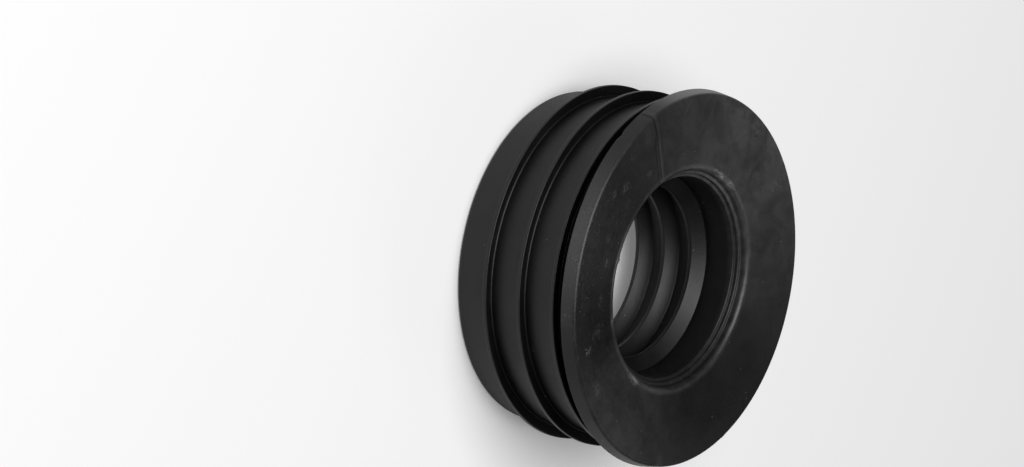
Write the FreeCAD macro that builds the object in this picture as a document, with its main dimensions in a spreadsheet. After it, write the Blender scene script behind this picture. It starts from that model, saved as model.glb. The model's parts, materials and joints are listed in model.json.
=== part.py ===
# Rubber reducing sleeve that seals a small pipe into the open end of a large one.
# It is one rubber moulding, standing on the end of its plug with the flange on top.
# The origin is the centre of the plug's foot and +Z is the axis, so the front of the flange faces up.
# The mould parts in the XZ plane.
import FreeCAD
import Part
import os
import Sketcher

doc = FreeCAD.newDocument("ReducingSleeve")
sheet = doc.addObject("Spreadsheet::Sheet", "Sizes")


class Length:
    """A length that carries its number and the formula, in the sheet's names, that gives it."""

    def __init__(self, number, formula):
        self.number = number
        self.formula = formula

    def __add__(self, other):
        other = as_length(other)
        return Length(self.number + other.number, f"({self.formula} + {other.formula})")

    def __sub__(self, other):
        other = as_length(other)
        return Length(self.number - other.number, f"({self.formula} - {other.formula})")

    def __mul__(self, other):
        other = as_length(other)
        return Length(self.number * other.number, f"{self.formula} * {other.formula}")

    def __truediv__(self, other):
        other = as_length(other)
        return Length(self.number / other.number, f"{self.formula} / ({other.formula})")

    def root(self):
        return Length(self.number ** 0.5, f"sqrt({self.formula})")


def as_length(value):
    """The value itself, or a plain number as a Length."""
    return value if isinstance(value, Length) else Length(value, str(value))


def size(name, number):
    """One driving dimension: a row of the sheet with its name and its number."""
    size.row += 1
    sheet.set(f"A{size.row}", name.replace("_", " "))
    sheet.set(f"B{size.row}", str(number))
    sheet.setAlias(f"B{size.row}", name)
    return Length(number, f"Sizes.{name}")


size.row = 0

# The two pipes that the sleeve joins
large_pipe_diameter = size("large_pipe_diameter", 80)
large_pipe_wall = size("large_pipe_wall", 1.8)
small_pipe_diameter = size("small_pipe_diameter", 40)

# Flange, which stops against the end of the large pipe
flange_overhang = size("flange_overhang", 1.5)
flange_thickness = size("flange_thickness", 3.2)
rim_taper = size("rim_taper", 0.5)
rim_bevel = size("rim_bevel", 0.5)

# Web: flat over the flange, then a shallow cone down to the mouth
web_fall = size("web_fall", 1.85)
web_thickness = size("web_thickness", 3.8)

# Mouth: a rounded lip, then shallow steps down to the bore of the collar
mouth_rounding = size("mouth_rounding", 1.2)
mouth_wall = size("mouth_wall", 0.7)
step_count = size("step_count", 2)
step_inward = size("step_inward", 0.8)
step_down = size("step_down", 0.9)

# Skirt, the outer wall of the plug
plug_depth = size("plug_depth", 32)
plug_clearance = size("plug_clearance", 1.6)
skirt_wall = size("skirt_wall", 3.4)
foot_bevel = size("foot_bevel", 1.2)

# Outer fins, which fold back against the bore of the large pipe
fin_count = size("fin_count", 3)
fin_below_seat = size("fin_below_seat", 5.5)
fin_above_foot = size("fin_above_foot", 8.5)
fin_bite = size("fin_bite", 1)
fin_root = size("fin_root", 1.9)
fin_edge = size("fin_edge", 1)
fin_lean = size("fin_lean", 1.2)

# Collar, the inner tube that the small pipe goes through
collar_clearance = size("collar_clearance", 2.2)
collar_wall = size("collar_wall", 3)
collar_above_foot = size("collar_above_foot", 5)

# Inner lips, which grip the small pipe
lip_count = size("lip_count", 3)
lip_below_steps = size("lip_below_steps", 8.1)
lip_above_collar_end = size("lip_above_collar_end", 3.5)
lip_bite = size("lip_bite", 0.8)
lip_root = size("lip_root", 2.1)
lip_edge = size("lip_edge", 1)
lip_lean = size("lip_lean", 1.3)

# The raised line where the mould parts
seam_width = size("seam_width", 1.5)
seam_height = size("seam_height", 0.15)

# How far an added form is rooted in the wall that carries it
rooted = size("rooted", 0.5)

# Radii
flange_radius = large_pipe_diameter / 2 + flange_overhang
pipe_bore = large_pipe_diameter / 2 - large_pipe_wall
skirt_outside = pipe_bore - plug_clearance
skirt_inside = skirt_outside - skirt_wall
fin_tip = pipe_bore + fin_bite
collar_inside = small_pipe_diameter / 2 + collar_clearance
collar_outside = collar_inside + collar_wall
mouth_radius = collar_inside + step_inward * step_count
lip_tip = small_pipe_diameter / 2 - lip_bite

# Heights above the foot
ground = Length(0, "0")
seat_height = plug_depth
rim_height = plug_depth + flange_thickness
mouth_height = rim_height - web_fall
collar_end = collar_above_foot

# The cone leaves the flat of the flange above the skirt's outside
cone_run = skirt_outside - mouth_radius
cone_length = (cone_run * cone_run + web_fall * web_fall).root()

# The lip of the mouth is an arc that touches the cone and the mouth's wall
nose_lean = mouth_rounding * web_fall / cone_length
nose_rise = mouth_rounding * cone_run / cone_length
nose_top = rim_height - web_fall * (cone_run - mouth_rounding + nose_lean) / cone_run
nose_centre = (mouth_radius + mouth_rounding, nose_top - nose_rise)
first_step_height = nose_centre[1] - mouth_wall
last_step_height = first_step_height - step_down * (step_count - 1)

# The hollow between collar and skirt is open at the foot, and its flat roof is the back of the web
roof_height = mouth_height - web_thickness


def rim_corners(offset):
    """The flange's tapering side and the bevel at its front, on a line that lies offset outside the rubber.

    The line turns a little later than the rubber does on each side of the bevel.
    """
    bevel_shift = offset * (Length(2, "2").root() - 1)
    side_share = (flange_thickness - rim_bevel) / flange_thickness
    return [
        (flange_radius + offset, seat_height),
        (flange_radius + offset - rim_taper * side_share, rim_height - rim_bevel + bevel_shift),
        (flange_radius - rim_taper - rim_bevel + bevel_shift, rim_height + offset),
    ]


def cone_leaves_flat(offset):
    """Where the flat of the flange turns into the cone, on a curve that lies offset outside the rubber."""
    return skirt_outside - offset * (cone_length - cone_run) / web_fall, rim_height + offset


def cone_meets_nose(offset):
    """Where the cone turns into the lip, on a curve that lies offset outside the rubber."""
    reach = mouth_rounding + offset
    return nose_centre[0] - reach * web_fall / cone_length, nose_centre[1] + reach * cone_run / cone_length


def make_body(label):
    """An empty body with a label of its own."""
    body = doc.addObject("PartDesign::Body", label)
    body.Label = label
    return body


def origin_feature(body, role):
    """One of the body's own origin planes or axes."""
    for feature in body.Origin.OriginFeatures:
        if feature.Role == role:
            return feature
    raise RuntimeError(f"no {role} in {body.Label}")


def bind(sketch, kind, geometry, point, measure):
    """Hold one coordinate of a point to its formula, or to the axis where it is zero."""
    if measure.number == 0:
        sketch.addConstraint(Sketcher.Constraint("PointOnObject", geometry, point, -1))
        return
    sketch.addConstraint(Sketcher.Constraint(kind, -1, 1, geometry, point, measure.number))
    sketch.setExpression(f"Constraints[{sketch.ConstraintCount - 1}]", measure.formula)


def closed_section(body, name, corners):
    """A closed outline in the XZ plane, running anticlockwise.

    Each corner is (radius, height), or (radius, height, centre) where an arc about that centre follows.
    """
    sketch = body.newObject("Sketcher::SketchObject", name)
    sketch.AttachmentSupport = (origin_feature(body, "XZ_Plane"), [""])
    sketch.MapMode = "FlatFace"
    places = [FreeCAD.Vector(corner[0].number, corner[1].number, 0) for corner in corners]
    for number, corner in enumerate(corners):
        start = places[number]
        end = places[(number + 1) % len(places)]
        if len(corner) == 3:
            centre = FreeCAD.Vector(corner[2][0].number, corner[2][1].number, 0)
            outward = ((start + end) * 0.5 - centre).normalize()
            sketch.addGeometry(Part.Arc(start, centre + outward * (start - centre).Length, end))
        else:
            sketch.addGeometry(Part.LineSegment(start, end))
    for number in range(len(corners)):
        sketch.addConstraint(Sketcher.Constraint("Coincident", number, 2, (number + 1) % len(corners), 1))
    for number, corner in enumerate(corners):
        bind(sketch, "DistanceX", number, 1, corner[0])
        bind(sketch, "DistanceY", number, 1, corner[1])
        if len(corner) == 3:
            bind(sketch, "DistanceX", number, 3, corner[2][0])
    return sketch


def revolved(body, name, corners):
    """A ring of rubber: the outline turned once about the axis."""
    ring = body.newObject("PartDesign::Revolution", name)
    ring.Profile = closed_section(body, name + "Section", corners)
    ring.ReferenceAxis = (origin_feature(body, "Z_Axis"), [""])
    ring.Angle = 360
    doc.recompute()
    return ring


def repeated_up_axis(body, name, original, count, span):
    """Copies of a ring, spread evenly over a span up the axis."""
    pattern = body.newObject("PartDesign::LinearPattern", name)
    pattern.Originals = [original]
    pattern.Direction = (origin_feature(body, "Z_Axis"), [""])
    pattern.Length = span.number
    pattern.setExpression("Length", span.formula)
    pattern.Occurrences = count.number
    pattern.setExpression("Occurrences", count.formula)
    body.Tip = pattern
    doc.recompute()
    return pattern


def ring_edge(shape, radius, height):
    """Name of the one circular edge at this radius and height."""
    names = []
    for number, edge in enumerate(shape.Edges, start=1):
        if isinstance(edge.Curve, Part.Circle):
            off_radius = abs(edge.Curve.Radius - radius.number)
            off_height = abs(edge.Curve.Center.z - height.number)
            if max(off_radius, off_height) < 0.001:
                names.append(f"Edge{number}")
    if len(names) != 1:
        raise RuntimeError(f"{len(names)} circular edges at radius {radius.number}, height {height.number}")
    return names[0]


def bevelled_ring(body, name, radius, height, width):
    """Cut a 45 degree bevel on one circular edge."""
    base = body.Tip
    bevel = body.newObject("PartDesign::Chamfer", name)
    bevel.Base = (base, [ring_edge(base.Shape, radius, height)])
    bevel.Size = width.number
    bevel.setExpression("Size", width.formula)
    doc.recompute()
    return bevel


def shell_corners():
    """The moulding's section: flange, sloping web, stepped mouth, collar, hollow and skirt."""
    corners = [
        *rim_corners(ground),
        cone_leaves_flat(ground),
        (*cone_meets_nose(ground), nose_centre),
        (mouth_radius, nose_centre[1]),
    ]
    for step in range(step_count.number):
        height = first_step_height - step_down * step
        corners.append((mouth_radius - step_inward * step, height))
        corners.append((mouth_radius - step_inward * (step + 1), height))
    corners += [
        (collar_inside, collar_end),
        (collar_outside, collar_end),
        (collar_outside, roof_height),
        (skirt_inside, roof_height),
        (skirt_inside, ground),
        (skirt_outside, ground),
        (skirt_outside, seat_height),
    ]
    return corners


def blade_corners(wall, tip, root_middle, lean, root, edge, into_wall):
    """A thin ring that stands on a wall and leans: thick at its root, with a narrow cylindrical edge."""
    tip_middle = root_middle + lean
    return [
        (wall + into_wall, root_middle - root / 2),
        (wall, root_middle - root / 2),
        (tip, tip_middle - edge / 2),
        (tip, tip_middle + edge / 2),
        (wall, root_middle + root / 2),
        (wall + into_wall, root_middle + root / 2),
    ]


def seam_corners():
    """The strip along the parting line: up the rim, across the flange and down the cone into the mouth."""
    return [
        (flange_radius - rooted, seat_height),
        *rim_corners(seam_height),
        cone_leaves_flat(seam_height),
        (*cone_meets_nose(seam_height), nose_centre),
        (mouth_radius - seam_height, nose_centre[1]),
        (mouth_radius + rooted, nose_centre[1]),
        (skirt_outside, mouth_height),
        (flange_radius - rooted, mouth_height),
    ]


def parting_strip(body, name):
    """The raised strip on one side of the parting plane, and the same strip across the axis."""
    strip = body.newObject("PartDesign::Pad", name)
    strip.Profile = closed_section(body, name + "Section", seam_corners())
    strip.Length = seam_width.number
    strip.setExpression("Length", seam_width.formula)
    doc.recompute()
    pair = body.newObject("PartDesign::Mirrored", name + "Pair")
    pair.Originals = [strip]
    pair.MirrorPlane = (origin_feature(body, "YZ_Plane"), [""])
    body.Tip = pair
    doc.recompute()
    return pair


def reducing_sleeve():
    """The whole moulding, as one body."""
    body = make_body("reducing_sleeve")
    revolved(body, "Shell", shell_corners())

    fin = revolved(body, "Fin", blade_corners(
        skirt_outside, fin_tip, fin_above_foot, fin_lean, fin_root, fin_edge, rooted * -1))
    fin_span = seat_height - fin_below_seat - fin_above_foot
    repeated_up_axis(body, "Fins", fin, fin_count, fin_span)

    lowest_lip = collar_end + lip_above_collar_end
    lip = revolved(body, "Lip", blade_corners(
        collar_inside, lip_tip, lowest_lip, lip_lean * -1, lip_root, lip_edge, rooted))
    lip_span = last_step_height - lip_below_steps - lowest_lip
    repeated_up_axis(body, "Lips", lip, lip_count, lip_span)

    bevelled_ring(body, "FootBevel", skirt_outside, ground, foot_bevel)
    parting_strip(body, "Seam")
    return body


def check(body):
    """Stop where any object has failed or the moulding isn't one sound solid."""
    for item in doc.Objects:
        if "Invalid" in item.State or "Error" in item.State:
            raise RuntimeError(f"{item.Name} failed: {item.State}")
    shape = body.Shape
    if shape.isNull() or not shape.isValid() or len(shape.Solids) != 1:
        raise RuntimeError(f"{body.Label} isn't one sound solid")


sleeve = reducing_sleeve()
doc.recompute()
check(sleeve)
os.makedirs("parts", exist_ok=True)
sleeve.Shape.exportStep(f"parts/{sleeve.Label}.step")
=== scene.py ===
import bpy
import bmesh
import json
import math
import numpy as np
from mathutils import Matrix, Vector


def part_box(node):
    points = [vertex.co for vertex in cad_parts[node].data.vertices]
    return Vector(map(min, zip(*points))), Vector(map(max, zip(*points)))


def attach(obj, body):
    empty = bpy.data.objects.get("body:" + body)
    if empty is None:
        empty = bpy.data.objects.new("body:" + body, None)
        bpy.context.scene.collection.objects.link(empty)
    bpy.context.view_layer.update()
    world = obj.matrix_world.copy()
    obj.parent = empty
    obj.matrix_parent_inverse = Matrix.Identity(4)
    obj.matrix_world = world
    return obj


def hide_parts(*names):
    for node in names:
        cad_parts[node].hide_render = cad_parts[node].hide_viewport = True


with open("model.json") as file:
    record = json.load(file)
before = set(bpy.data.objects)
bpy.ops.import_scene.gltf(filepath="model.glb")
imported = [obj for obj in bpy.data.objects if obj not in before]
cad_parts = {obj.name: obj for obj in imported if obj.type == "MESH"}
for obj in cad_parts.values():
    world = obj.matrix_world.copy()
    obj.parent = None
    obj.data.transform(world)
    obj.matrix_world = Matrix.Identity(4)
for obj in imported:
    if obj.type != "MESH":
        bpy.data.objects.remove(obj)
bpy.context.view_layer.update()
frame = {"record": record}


# The section of the moulding
# One piece of black rubber, pressed in a two-part mould, so one closed line gives all of its walls: the flange,
# the sloping web, the stepped mouth, the collar with its grip lips, the open hollow and the skirt with its fins.
MM = 0.001
ARC_RUN = 0.25 * MM
STRIP_HEIGHT = 0.15 * MM
FLANGE_THICKNESS = 3.35 * MM
RIM_TAPER = 0.57 * MM
WEB_FALL = 1.85 * MM
WEB_THICKNESS = 3.8 * MM
WEB_BEND = 22 * MM
WEB_STEPS = 16
NOSE_ROUNDING = 1.2 * MM
STEP_WIDTH = 0.8 * MM
COLLAR_WALL = 3 * MM
COLLAR_FOOT = 5 * MM
LIP_COUNT = 3
LIP_REACH = 3 * MM
LOWEST_LIP = 8.5 * MM
SKIRT_WALL = 3.4 * MM
FIN_COUNT = 3
FIN_REACH = 2.6 * MM
FIN_PITCH = 9 * MM
LOWEST_FIN = 8.5 * MM
sleeve_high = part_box("reducing_sleeve")[1]
mount_radius = {mount["name"]: mount["dims"].get("r_mm", 0) * MM for mount in frame["record"]["mounts"]}
lip_edge_radius = mount_radius["small_pipe_bore"]
fin_edge_radius = mount_radius["large_pipe_plug"]
flange_radius = sleeve_high[1]
rim_height = sleeve_high[2] - STRIP_HEIGHT
seat_height = rim_height - FLANGE_THICKNESS
skirt_outside = fin_edge_radius - FIN_REACH
skirt_inside = skirt_outside - SKIRT_WALL
collar_inside = lip_edge_radius + LIP_REACH
collar_outside = collar_inside + COLLAR_WALL
mouth_radius = collar_inside + 2 * STEP_WIDTH


def rounded(corners):
    """The closed line through corners (radius, height, rounding), each turned by an arc of its rounding."""
    line = []
    for number, (radius, height, rounding) in enumerate(corners):
        here = Vector((radius, height))
        if rounding == 0:
            line.append(here)
            continue
        back = (Vector(corners[number - 1][:2]) - here).normalized()
        ahead = (Vector(corners[(number + 1) % len(corners)][:2]) - here).normalized()
        half_opening = back.angle(ahead) / 2
        reach = rounding / math.tan(half_opening)
        centre = here + (back + ahead).normalized() * rounding / math.sin(half_opening)
        first = here + back * reach - centre
        turn = first.angle_signed(here + ahead * reach - centre)
        count = max(2, math.ceil(abs(turn) * rounding / ARC_RUN))
        line += [centre + Matrix.Rotation(-turn * step / count, 2) @ first for step in range(count + 1)]
    return line


def blade(wall, edge, root_height, lean, root, tip):
    """Corners of a thin ring on a wall: a wide root, and a narrow edge that leans up or down."""
    along = math.copysign(1, edge - wall)
    root_rounding = 0.35 * MM
    edge_rounding = 0.2 * MM
    return [
        (wall, root_height - along * root / 2, root_rounding),
        (edge, root_height + lean - along * tip / 2, edge_rounding),
        (edge, root_height + lean + along * tip / 2, edge_rounding),
        (wall, root_height + along * root / 2, root_rounding),
    ]


def section_line():
    """The whole outline: flange, face, mouth, down the collar, up and down the hollow, and up the skirt."""
    # Two points low on the flange's side are there for the nick, and those along the web for its unevenness
    side = [
        (flange_radius - RIM_TAPER * share, seat_height + (rim_height - seat_height) * share, 0)
        for share in (0.1, 0.2)
    ]
    run = skirt_outside - mouth_radius
    web = [
        (skirt_outside - run * step / WEB_STEPS, rim_height - WEB_FALL * step / WEB_STEPS, 0)
        for step in range(3, WEB_STEPS - 1)
    ]
    nose_height = rim_height - WEB_FALL
    nose_foot = nose_height - NOSE_ROUNDING * math.tan((math.pi / 2 - math.atan(WEB_FALL / run)) / 2)
    first_step = nose_foot - 0.7 * MM
    second_step = first_step - 0.9 * MM
    corners = [
        (skirt_outside, seat_height, 0.3 * MM),
        (flange_radius, seat_height, 0.1 * MM),
        *side,
        (flange_radius - RIM_TAPER, rim_height, 0.8 * MM),
        (skirt_outside, rim_height, WEB_BEND),
        *web,
        (mouth_radius, nose_height, NOSE_ROUNDING),
        (mouth_radius, first_step, 0.15 * MM),
        (mouth_radius - STEP_WIDTH, first_step, 0.25 * MM),
        (mouth_radius - STEP_WIDTH, second_step, 0.15 * MM),
        (collar_inside, second_step, 0.25 * MM),
    ]
    highest_lip = second_step - 8.1 * MM
    lip_pitch = (highest_lip - LOWEST_LIP) / (LIP_COUNT - 1)
    for number in reversed(range(LIP_COUNT)):
        height = LOWEST_LIP + number * lip_pitch
        corners += blade(collar_inside, lip_edge_radius, height, lean=-1.3 * MM, root=2.1 * MM, tip=1 * MM)
    roof = nose_height - WEB_THICKNESS
    corners += [
        (collar_inside, COLLAR_FOOT, 0.8 * MM),
        (collar_outside, COLLAR_FOOT, 0.8 * MM),
        (collar_outside, roof, 1.5 * MM),
        (skirt_inside, roof, 1.5 * MM),
        (skirt_inside, 0, 0.3 * MM),
        (skirt_outside, 0, 1.2 * MM),
    ]
    for number in range(FIN_COUNT):
        height = LOWEST_FIN + number * FIN_PITCH
        corners += blade(skirt_outside, fin_edge_radius, height, lean=1.2 * MM, root=1.9 * MM, tip=1 * MM)
    return rounded(corners)


# The moulding
# The section turned once about the axis, in one piece. The mould's two halves left a raised strip on each side of
# the flange, plain on one side and faint on the other; only the plain one is made here. The pipe pushed through
# it has pulled the mouth askew.

# Places on it, in degrees about the axis
MOUTH_HIGH_SIDE = -65
NICK_SIDE = 11
LIP_CREASED = ((-54, 15, 1), (49, 4, 1), (120, 7, 1))
MOULDING_SIZES = {
    "Columns": 528,
    "Turn radius": 30 * MM,
    "Gathering": 0.85,
    "Strip width": 1.5 * MM,
    "Strip height": STRIP_HEIGHT,
    "Groove depth": 0.26 * MM,
    "Far strip share": 0.0,
    "Mouth askew": 0.65 * MM,
    "Web unevenness": 0.25 * MM,
    "Seat nick": 0.16 * MM,
    "Lip creases": 1.1 * MM,
}


class Wire:
    """One output of a node. Arithmetic on it adds Math nodes to the same tree."""

    def __init__(self, graph, socket):
        self.graph = graph
        self.socket = socket

    def math(self, operation, *others):
        return self.graph.math(operation, self, *others)

    def __add__(self, other):
        return self.math("ADD", other)

    def __radd__(self, other):
        return self.math("ADD", other)

    def __sub__(self, other):
        return self.math("SUBTRACT", other)

    def __rsub__(self, other):
        return self.graph.math("SUBTRACT", other, self)

    def __mul__(self, other):
        return self.math("MULTIPLY", other)

    def __rmul__(self, other):
        return self.math("MULTIPLY", other)

    def __truediv__(self, other):
        return self.math("DIVIDE", other)

    def __neg__(self):
        return self.math("MULTIPLY", -1)


class Graph:
    """A node tree that is filled by calls."""

    def __init__(self, tree):
        self.tree = tree

    def add(self, kind, settings, inputs, output=0):
        """A node with these settings, and with inputs that are values or Wires. Returns one output, if any."""
        node = self.tree.nodes.new(kind)
        for name, value in settings.items():
            setattr(node, name, value)
        for key, value in inputs.items():
            if isinstance(value, Wire):
                self.tree.links.new(value.socket, node.inputs[key])
            else:
                node.inputs[key].default_value = value
        return Wire(self, node.outputs[output]) if len(node.outputs) else None

    def other(self, wire, output):
        """Another output of the node that a Wire comes from."""
        return Wire(self, wire.socket.node.outputs[output])

    def math(self, operation, *values):
        return self.add("ShaderNodeMath", {"operation": operation}, dict(enumerate(values)))

    def ramp(self, value, start, end):
        """0 up to start, 1 from end on, and a smooth rise between. An end under its start makes it fall."""
        if end < start:
            return 1 - self.ramp(value, end, start)
        settings = {"interpolation_type": "SMOOTHSTEP"}
        return self.add("ShaderNodeMapRange", settings, {"Value": value, "From Min": start, "From Max": end})

    def hump(self, value, middle, half_width):
        """1 at the middle, falling smoothly to 0 on both sides."""
        return self.ramp((value - middle).math("ABSOLUTE"), half_width, 0)

    def around(self, x, y, angle, half_width):
        """1 on the ray at this angle about the axis, in degrees, falling smoothly to 0 on both sides."""
        towards = Vector((math.cos(math.radians(angle)), math.sin(math.radians(angle))))
        across = (x * towards.y - y * towards.x).math("ABSOLUTE")
        along = x * towards.x + y * towards.y
        return self.ramp(across.math("ARCTAN2", along), math.radians(half_width), 0)

    def rays(self, x, y, terms):
        """The sum of rays about the axis, each an angle, a half width and an amount."""
        return sum(self.around(x, y, angle, half_width) * amount for angle, half_width, amount in terms)

    def patches(self, x, y, radius, terms):
        """The sum of patches, each an angle, a half width, a radius, a half height and an amount."""
        return sum(
            self.around(x, y, angle, half_width) * self.hump(radius, middle, half_height) * amount
            for angle, half_width, middle, half_height, amount in terms
        )


def moulding_tree(material):
    """The tree that turns the section about the axis and then adds what the mould and the pipe did to it."""
    tree = bpy.data.node_groups.new("Turned moulding", "GeometryNodeTree")
    tree.interface.new_socket("Geometry", in_out="INPUT", socket_type="NodeSocketGeometry")
    for name, value in MOULDING_SIZES.items():
        kind = "NodeSocketInt" if isinstance(value, int) else "NodeSocketFloat"
        tree.interface.new_socket(name, in_out="INPUT", socket_type=kind)
    tree.interface.new_socket("Geometry", in_out="OUTPUT", socket_type="NodeSocketGeometry")
    graph = Graph(tree)
    given = tree.nodes.new("NodeGroupInput")
    size = {socket.name: Wire(graph, socket) for socket in given.outputs if socket.name}

    # The turn about the axis, with its columns gathered at the mould's parting plane
    section = graph.add("GeometryNodeMeshToCurve", {}, {"Mesh": size["Geometry"]})
    circle = graph.add("GeometryNodeCurvePrimitiveCircle", {"mode": "RADIUS"}, {
        "Resolution": size["Columns"],
        "Radius": size["Turn radius"],
    })
    even = graph.add("GeometryNodeInputIndex", {}, {}) * (2 * math.pi) / size["Columns"]
    gathered = even - (even * 2).math("SINE") * size["Gathering"] / 2
    on_circle = graph.add("ShaderNodeCombineXYZ", {}, {
        "X": gathered.math("COSINE") * size["Turn radius"],
        "Y": gathered.math("SINE") * size["Turn radius"],
    })
    path = graph.add("GeometryNodeSetPosition", {}, {"Geometry": circle, "Position": on_circle})
    turned = graph.add("GeometryNodeCurveToMesh", {}, {"Curve": path, "Profile Curve": section})

    position = graph.add("GeometryNodeInputPosition", {}, {})
    inward = graph.add("GeometryNodeInputNormal", {}, {})
    x = graph.add("ShaderNodeSeparateXYZ", {}, {0: position})
    y = graph.other(x, 1)
    z = graph.other(x, 2)
    radius = (x * x + y * y).math("SQRT")

    # The raised strip, the groove beside it on the rim and the shallow valley beside it on the web
    in_strip = y.math("LESS_THAN", 0.02 * MM) * graph.ramp(y + size["Strip width"], -0.3 * MM, 0.9 * MM)
    above_seat = graph.ramp(z, seat_height + 0.2 * MM, seat_height + 0.7 * MM)
    on_flange = above_seat * graph.ramp(radius, mouth_radius + 0.4 * MM, mouth_radius + 1.6 * MM)
    groove = graph.hump(y, 0.16 * MM, 0.18 * MM) * graph.ramp(radius, 35 * MM, 39 * MM)
    valley = graph.hump(y, 0.4 * MM, 0.95 * MM) * graph.ramp(radius, 37 * MM, 33 * MM) * 0.8
    far_face = graph.ramp(x, 1 * MM, -1 * MM) * graph.ramp(radius, flange_radius, flange_radius - 1 * MM)
    share = 1 - far_face * (1 - size["Far strip share"])
    raised = (size["Strip height"] * in_strip - size["Groove depth"] * (groove + valley)) * share
    lift = graph.add("ShaderNodeVectorMath", {"operation": "SCALE"}, {0: inward, "Scale": -(raised * on_flange)})
    with_strip = graph.add("GeometryNodeSetPosition", {}, {"Geometry": turned, "Offset": lift})

    # The mouth pulled askew, and the web's slight unevenness
    near_mouth = graph.ramp(radius, skirt_outside, mouth_radius)
    near_mouth = near_mouth * graph.ramp(z, rim_height - 20 * MM, rim_height - 7 * MM)
    cloud = graph.add("ShaderNodeTexNoise", {"noise_dimensions": "3D"}, {
        "Vector": position,
        "Scale": 1 / (17 * MM),
        "Detail": 1.5,
    }) - 0.5
    web_middle = (skirt_outside + mouth_radius) / 2
    on_web = graph.hump(radius, web_middle, skirt_outside - web_middle) * near_mouth
    high_side = math.radians(MOUTH_HIGH_SIDE)
    leaning = (x * math.cos(high_side) + y * math.sin(high_side)) / radius
    sink = cloud * size["Web unevenness"] * on_web + leaning * size["Mouth askew"] * near_mouth
    askew = graph.add("GeometryNodeSetPosition", {}, {
        "Geometry": with_strip,
        "Offset": graph.add("ShaderNodeCombineXYZ", {}, {"Z": sink}),
    })

    # The nick in the edge at the seat
    at_seat = graph.ramp(z, seat_height + 0.5 * MM, seat_height + 0.2 * MM)
    at_seat = at_seat * graph.ramp(radius, flange_radius - 1 * MM, flange_radius)
    nick = size["Seat nick"] * graph.around(x, y, NICK_SIDE, 2.2) * at_seat
    nicked = graph.add("GeometryNodeSetPosition", {}, {
        "Geometry": askew,
        "Offset": graph.add("ShaderNodeCombineXYZ", {}, {
            "X": -(x / radius * nick),
            "Y": -(y / radius * nick),
            "Z": nick,
        }),
    })

    # The creases where the lip is torn
    wrinkles = graph.add("ShaderNodeTexNoise", {"noise_dimensions": "3D"}, {
        "Vector": position,
        "Scale": 1 / (1.4 * MM),
        "Detail": 1,
    }) - 0.5
    on_lip = graph.hump(radius, mouth_radius + 0.8 * MM, 1.2 * MM)
    on_lip = on_lip * graph.ramp(z, rim_height - 4 * MM, rim_height - 3 * MM)
    crease = graph.add("ShaderNodeVectorMath", {"operation": "SCALE"}, {
        0: inward,
        "Scale": wrinkles * size["Lip creases"] * graph.rays(x, y, LIP_CREASED) * on_lip,
    })
    creased = graph.add("GeometryNodeSetPosition", {}, {"Geometry": nicked, "Offset": crease})

    whole = graph.add("GeometryNodeRealizeInstances", {}, {"Geometry": creased})
    finished = graph.add("GeometryNodeSetMaterial", {}, {"Geometry": whole, "Material": material})
    graph.add("NodeGroupOutput", {}, {0: finished})
    return tree


def settled_normals(mesh):
    """Doubles merged, faces turned outward, and vertex normals that keep the flats flat beside their roundings."""
    work = bmesh.new()
    work.from_mesh(mesh)
    bmesh.ops.remove_doubles(work, verts=work.verts, dist=0.001 * MM)
    bmesh.ops.recalc_face_normals(work, faces=work.faces)
    work.to_mesh(mesh)
    work.free()
    face_count = len(mesh.polygons)
    mesh.polygons.foreach_set("use_smooth", [True] * face_count)
    areas = np.empty(face_count)
    mesh.polygons.foreach_get("area", areas)
    facing = np.empty(face_count * 3)
    mesh.polygons.foreach_get("normal", facing)
    corner_count = np.empty(face_count, dtype=np.int32)
    mesh.polygons.foreach_get("loop_total", corner_count)
    corners = np.empty(len(mesh.loops), dtype=np.int32)
    mesh.loops.foreach_get("vertex_index", corners)
    weighted = np.repeat(facing.reshape(-1, 3) * areas[:, None], corner_count, axis=0)
    total = np.stack([np.bincount(corners, weighted[:, axis], len(mesh.vertices)) for axis in range(3)], axis=1)
    total /= np.linalg.norm(total, axis=1)[:, None]
    mesh.normals_split_custom_set_from_vertices(total.tolist())


def moulding(material):
    """The finished sleeve: one plain mesh with its origin at the centre of the foot."""
    line = section_line()
    turn_radius = MOULDING_SIZES["Turn radius"]
    points = [(point.x - turn_radius, -point.y, 0) for point in line]
    edges = [(number, (number + 1) % len(line)) for number in range(len(line))]
    wire = bpy.data.meshes.new("section")
    wire.from_pydata(points, edges, [])
    blank = bpy.data.objects.new("section", wire)
    bpy.context.collection.objects.link(blank)
    modifier = blank.modifiers.new("Turned moulding", "NODES")
    modifier.node_group = moulding_tree(material)
    for item in modifier.node_group.interface.items_tree:
        if item.name in MOULDING_SIZES:
            modifier[item.identifier] = MOULDING_SIZES[item.name]
    evaluated = blank.evaluated_get(bpy.context.evaluated_depsgraph_get())
    mesh = bpy.data.meshes.new_from_object(evaluated)
    mesh.name = "reducing sleeve"
    bpy.data.objects.remove(blank)
    settled_normals(mesh)
    sleeve = bpy.data.objects.new("sleeve", mesh)
    bpy.context.collection.objects.link(sleeve)
    return sleeve
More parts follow.
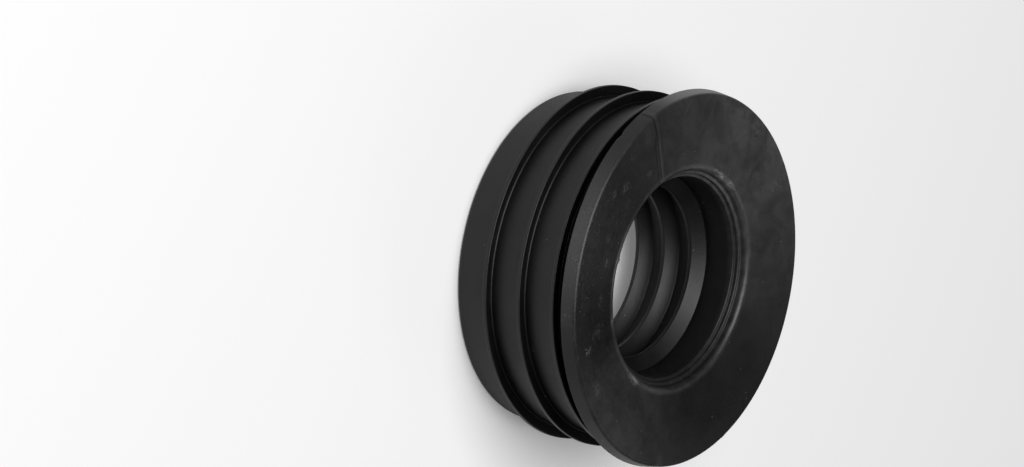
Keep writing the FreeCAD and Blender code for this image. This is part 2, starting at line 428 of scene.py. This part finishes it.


# The rubber
# Black EPDM as it comes from the mould, matt, with a bloom that clouds it and some dust. Handling has left light
# patches on it, and the lip of the mouth is rubbed lighter and smoother where the pipe went through. Its colour
# also carries painted light: painted sheen and shade in sectors, and painted highlights on the strip, the flange's
# side and the lip, with painted reflected light on the mouth's wall.

# Rays as Graph.rays takes them, and patches as Graph.patches does, in degrees about the axis and in millimetres
# The bloom's sectors are painted sheen and painted shade: lighter where light is reflected, darker where shade
# falls
SHEEN_AND_BLOOM_RAYS = ((-62, 105, 0.03), (45, 30, 0.01), (118, 42, 0.021), (157, 22, 0.004))
SHEEN_SHADE_AND_BLOOM_PATCHES = (
    (-54, 11, 36, 8, 0.008),
    (4, 4, 37.5, 4, 0.012),
    (-60, 60, 41, 5, 0.012),
    (-34, 14, 33, 8, -0.005),
    (87, 4, 27.5, 3, -0.006),
    (146, 3, 41, 5, 0.012),
)
SCUFFS_AND_LIP_HIGHLIGHT = (
    (-85, 5, 36.5, 4, 0.02),
    (-60, 5, 37.5, 2.5, 0.016),
    (8, 2.5, 29.5, 1.5, 0.025),
    (23, 4, 34, 2.2, 0.03),
    (29, 2.5, 36.5, 2.5, 0.025),
    (43, 3, 32, 1.5, 0.02),
    (52, 2.5, 30, 1.8, 0.03),
    (68, 5, 30.5, 1.8, 0.02),
    (79, 4, 32, 4, 0.02),
    (83, 2, 37, 1.6, 0.07),
    (99, 5, 36.5, 2, 0.03),
    # The last patch is a painted highlight beside the torn lip, with some real wear
    (119, 6.5, 25.4, 1.3, 0.07),
)
# The lip's rubbed and torn rays lighten it partly as real wear and partly as painted highlights
LIP_RUBBED_AND_LIT = ((-30, 22, 0.9), (54, 27, 3.4), (97, 14, 0.4), (141, 20, 1))
LIP_TORN_AND_HIGHLIT = ((-54, 15, 5), (-62, 6, 4), (80, 6, 2), (118, 9, 4.5))
# Painted highlights on the flange's side where the light rakes it
RIM_PAINTED_HIGHLIGHT = ((-25, 32, 0.03), (-24, 20, 0.07), (47, 36, 0.028))
RIM_DULL = ((95, 45, 0.22), (8, 24, 0.3))


def cleared(data):
    """The emptied node tree of a material or a world, to be filled."""
    data.use_nodes = True
    data.node_tree.nodes.clear()
    return Graph(data.node_tree)


def rubber():
    """Matt black, worked out in millimetres from the sleeve's own axis, so each mark keeps its place on it."""
    material = bpy.data.materials.new("black moulded rubber")
    graph = cleared(material)
    place = graph.add("ShaderNodeVectorMath", {"operation": "SCALE"}, {
        0: graph.add("ShaderNodeTexCoord", {}, {}, "Object"),
        "Scale": 1 / MM,
    })
    x = graph.add("ShaderNodeSeparateXYZ", {}, {0: place})
    y = graph.other(x, 1)
    z = graph.other(x, 2)
    radius = (x * x + y * y).math("SQRT")
    face = rim_height / MM
    mouth = mouth_radius / MM
    rim = flange_radius / MM
    upward = graph.ramp(z, face - 4, face - 2.8)
    on_rim = graph.ramp(radius, rim - 0.9, rim - 0.4)

    # What clouds and speckles the surface: most of it lies anyhow, and what wiping left runs round the axis
    cloud = graph.add("ShaderNodeTexNoise", {}, {"Vector": place, "Scale": 0.09, "Detail": 5, "Roughness": 0.6})
    grain = graph.add("ShaderNodeTexNoise", {}, {"Vector": place, "Scale": 2.2, "Detail": 3, "Roughness": 0.6})
    wisps = graph.add("ShaderNodeTexNoise", {}, {
        "Vector": place,
        "Scale": 0.16,
        "Detail": 4,
        "Roughness": 0.55,
        "Distortion": 1.8,
    })
    round_about = graph.add("ShaderNodeCombineXYZ", {}, {
        "X": x / radius * 30,
        "Y": y / radius * 30,
        "Z": radius * 4,
    })
    rubs = graph.add("ShaderNodeTexNoise", {}, {
        "Vector": round_about,
        "Scale": 0.35,
        "Detail": 3,
        "Roughness": 0.6,
    })
    cells = graph.add("ShaderNodeTexVoronoi", {}, {"Vector": place, "Scale": 0.7})
    picked = graph.add("ShaderNodeSeparateColor", {}, {0: graph.other(cells, 1)})
    dust = graph.ramp(cells, 0.1, 0.05) * graph.ramp(picked, 0.88, 0.92)

    # The face: bloom clouds with painted sheen and shade in sectors, scuffs, flecks, and a painted highlight along
    # the strip
    clouding = 0.55 * graph.ramp(cloud, 0.25, 0.75) + 0.65 * graph.ramp(wisps * 0.8 + grain * 0.2, 0.3, 0.7) + 0.4
    bloom_and_painted_light = graph.rays(x, y, SHEEN_AND_BLOOM_RAYS) + graph.patches(x, y, radius, SHEEN_SHADE_AND_BLOOM_PATCHES)
    bloom_and_painted_light = bloom_and_painted_light * upward * clouding
    scuffs_and_lip_highlight = graph.patches(x, y, radius, SCUFFS_AND_LIP_HIGHLIGHT) * 1.6 * upward * graph.ramp(rubs * 0.4 + grain * 0.6, 0.46, 0.6)
    flecks = graph.ramp(rubs * 0.45 + grain * 0.55, 0.57, 0.65) * graph.around(x, y, 55, 75) * upward * 0.03
    # A painted highlight: the strip's lit flank, painted as a lighter band beside it
    strip_painted_highlight = graph.ramp(y, -1.4, -0.9) * graph.ramp(y, 0.02, -0.1) * upward * graph.ramp(x, 20, 26) * 0.008
    mottle = 0.5 * (wisps * 0.7 + grain * 0.3 - 0.5) * graph.around(x, y, 70, 60) * upward

    # The mouth: painted highlights on its lip over real rubbing and tears in strokes, and painted reflected light
    # on its wall
    lip = graph.hump(radius - (0.14 * x + 0.29 * y) / radius, mouth + 0.95, 1) * upward
    mouth_wall = graph.ramp(radius, mouth + 0.4, mouth) * graph.ramp(z, face - 5.8, face - 4.4)
    strokes = graph.ramp(rubs, 0.42, 0.62)
    torn_and_highlit = graph.rays(x, y, LIP_TORN_AND_HIGHLIT)
    lip_rub_and_highlight = (0.8 + graph.rays(x, y, LIP_RUBBED_AND_LIT)) * (0.5 + 0.5 * strokes) + torn_and_highlit * (0.2 + 0.8 * strokes)
    wall_rub_and_reflected_light = (0.5 + graph.around(x, y, -40, 90)) * (0.5 + 0.5 * strokes)
    rubbed_and_painted_light = lip_rub_and_highlight * lip + wall_rub_and_reflected_light * mouth_wall

    # The flange's side: a painted highlight where the light rakes it, and duller stretches
    rim_painted_highlight = graph.rays(x, y, RIM_PAINTED_HIGHLIGHT) * on_rim * (0.4 + 1.2 * grain)
    rim_dull = graph.rays(x, y, RIM_DULL) * on_rim
    edge_line = graph.hump(radius, rim - 0.85, 0.35) * graph.around(x, y, 11, 18) * upward
    edge_line = edge_line * graph.ramp(rubs, 0.35, 0.5)

    # The rubber's own tone, dust, flecks and scuffs, added to the painted sheen, shade and highlights
    shade = 0.002 + 0.006 * (cloud - 0.5) + 0.003 * (grain - 0.5) + bloom_and_painted_light + scuffs_and_lip_highlight + flecks + strip_painted_highlight
    shade = shade + 0.03 * rubbed_and_painted_light + rim_painted_highlight + 0.16 * dust
    relief = grain - 4 * edge_line + rubs * (2 * lip + 2 * mouth_wall + 2.5 * torn_and_highlit * lip)
    colour = graph.add("ShaderNodeCombineColor", {}, {"Red": shade, "Green": shade, "Blue": shade * 1.03})
    surface = graph.add("ShaderNodeBsdfPrincipled", {}, {
        "Base Color": colour,
        "Roughness": 0.46 + 0.25 * (cloud - 0.5) + 0.12 * (grain - 0.5) + mottle - 0.05 * rubbed_and_painted_light + rim_dull,
        "Normal": graph.add("ShaderNodeBump", {}, {"Height": relief, "Distance": 0.03 * MM, "Strength": 1}),
    })
    graph.add("ShaderNodeOutputMaterial", {}, {"Surface": surface})
    return material


sleeve = moulding(rubber())
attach(sleeve, "root")
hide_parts("reducing_sleeve")


# The studio
# A pale floor, lifted towards white for the camera alone, so that it throws no more light on the sleeve. A large
# soft lamp stands on the side the sleeve's shadow falls away from, and a weaker one across from it.
FLOOR_REACH = 4
FLOOR_LIFT = 0.17
WORLD_LIGHT = 0.08


def floor():
    """The ground that the sleeve stands on, wide enough to fill the picture."""
    corners = [(-1, -1), (1, -1), (1, 1), (-1, 1)]
    mesh = bpy.data.meshes.new("floor")
    mesh.from_pydata([(x * FLOOR_REACH, y * FLOOR_REACH, 0) for x, y in corners], [], [(0, 1, 2, 3)])
    paint = bpy.data.materials.new("pale floor")
    graph = cleared(paint)
    lift = FLOOR_LIFT * graph.add("ShaderNodeLightPath", {}, {}, "Is Camera Ray")
    surface = graph.add("ShaderNodeBsdfPrincipled", {}, {
        "Base Color": (0.86, 0.86, 0.86, 1),
        "Roughness": 0.8,
        "Emission Color": graph.add("ShaderNodeCombineColor", {}, {"Red": lift, "Green": lift, "Blue": lift}),
        "Emission Strength": 1,
    })
    graph.add("ShaderNodeOutputMaterial", {}, {"Surface": surface})
    mesh.materials.append(paint)
    piece = bpy.data.objects.new("floor", mesh)
    bpy.context.collection.objects.link(piece)
    return piece


def soft_lamp(name, azimuth, elevation, distance, width, watts):
    """A round lamp on a ray from the origin, shining back along it."""
    data = bpy.data.lights.new(name, "AREA")
    data.shape = "DISK"
    data.size = width
    data.energy = watts
    away = Vector((
        math.cos(math.radians(elevation)) * math.cos(math.radians(azimuth)),
        math.cos(math.radians(elevation)) * math.sin(math.radians(azimuth)),
        math.sin(math.radians(elevation)),
    ))
    lamp = bpy.data.objects.new(name, data)
    lamp.location = away * distance
    lamp.rotation_euler = away.to_track_quat("Z", "Y").to_euler()
    bpy.context.collection.objects.link(lamp)


def backdrop():
    """A dim, even light from all round, which the camera sees as white."""
    world = bpy.data.worlds.new("studio")
    graph = cleared(world)
    level = WORLD_LIGHT + (1 - WORLD_LIGHT) * graph.add("ShaderNodeLightPath", {}, {}, "Is Camera Ray")
    light = graph.add("ShaderNodeBackground", {}, {"Strength": level})
    graph.add("ShaderNodeOutputWorld", {}, {"Surface": light})
    return world


floor()
soft_lamp("key", azimuth=33, elevation=60, distance=1.4, width=1.2, watts=20)
soft_lamp("across", azimuth=210, elevation=44, distance=1.4, width=0.6, watts=0.7)
bpy.context.scene.world = backdrop()


# The camera
# It stands where the photograph's camera stood, and is turned as that one was. Both were fitted to the outlines of
# the flange and of the two pipes in the photograph.
CAMERA_PLACE = (0.54964, 0.72206, 0.65316)
CAMERA_RIGHT = (-0.19868, -0.57866, 0.791)
CAMERA_UP = (0.85101, -0.50218, -0.15362)
FOCAL_LENGTH = 178.4
SENSOR_WIDTH = 36

lens = bpy.data.cameras.new("camera")
lens.lens = FOCAL_LENGTH
lens.sensor_width = SENSOR_WIDTH
right = Vector(CAMERA_RIGHT).normalized()
back = right.cross(Vector(CAMERA_UP)).normalized()
up = back.cross(right)
camera = bpy.data.objects.new("camera", lens)
camera.matrix_world = Matrix.Translation(CAMERA_PLACE) @ Matrix((right, up, back)).transposed().to_4x4()
bpy.context.collection.objects.link(camera)
bpy.context.scene.camera = camera
bpy.context.scene.view_settings.view_transform = "Standard"
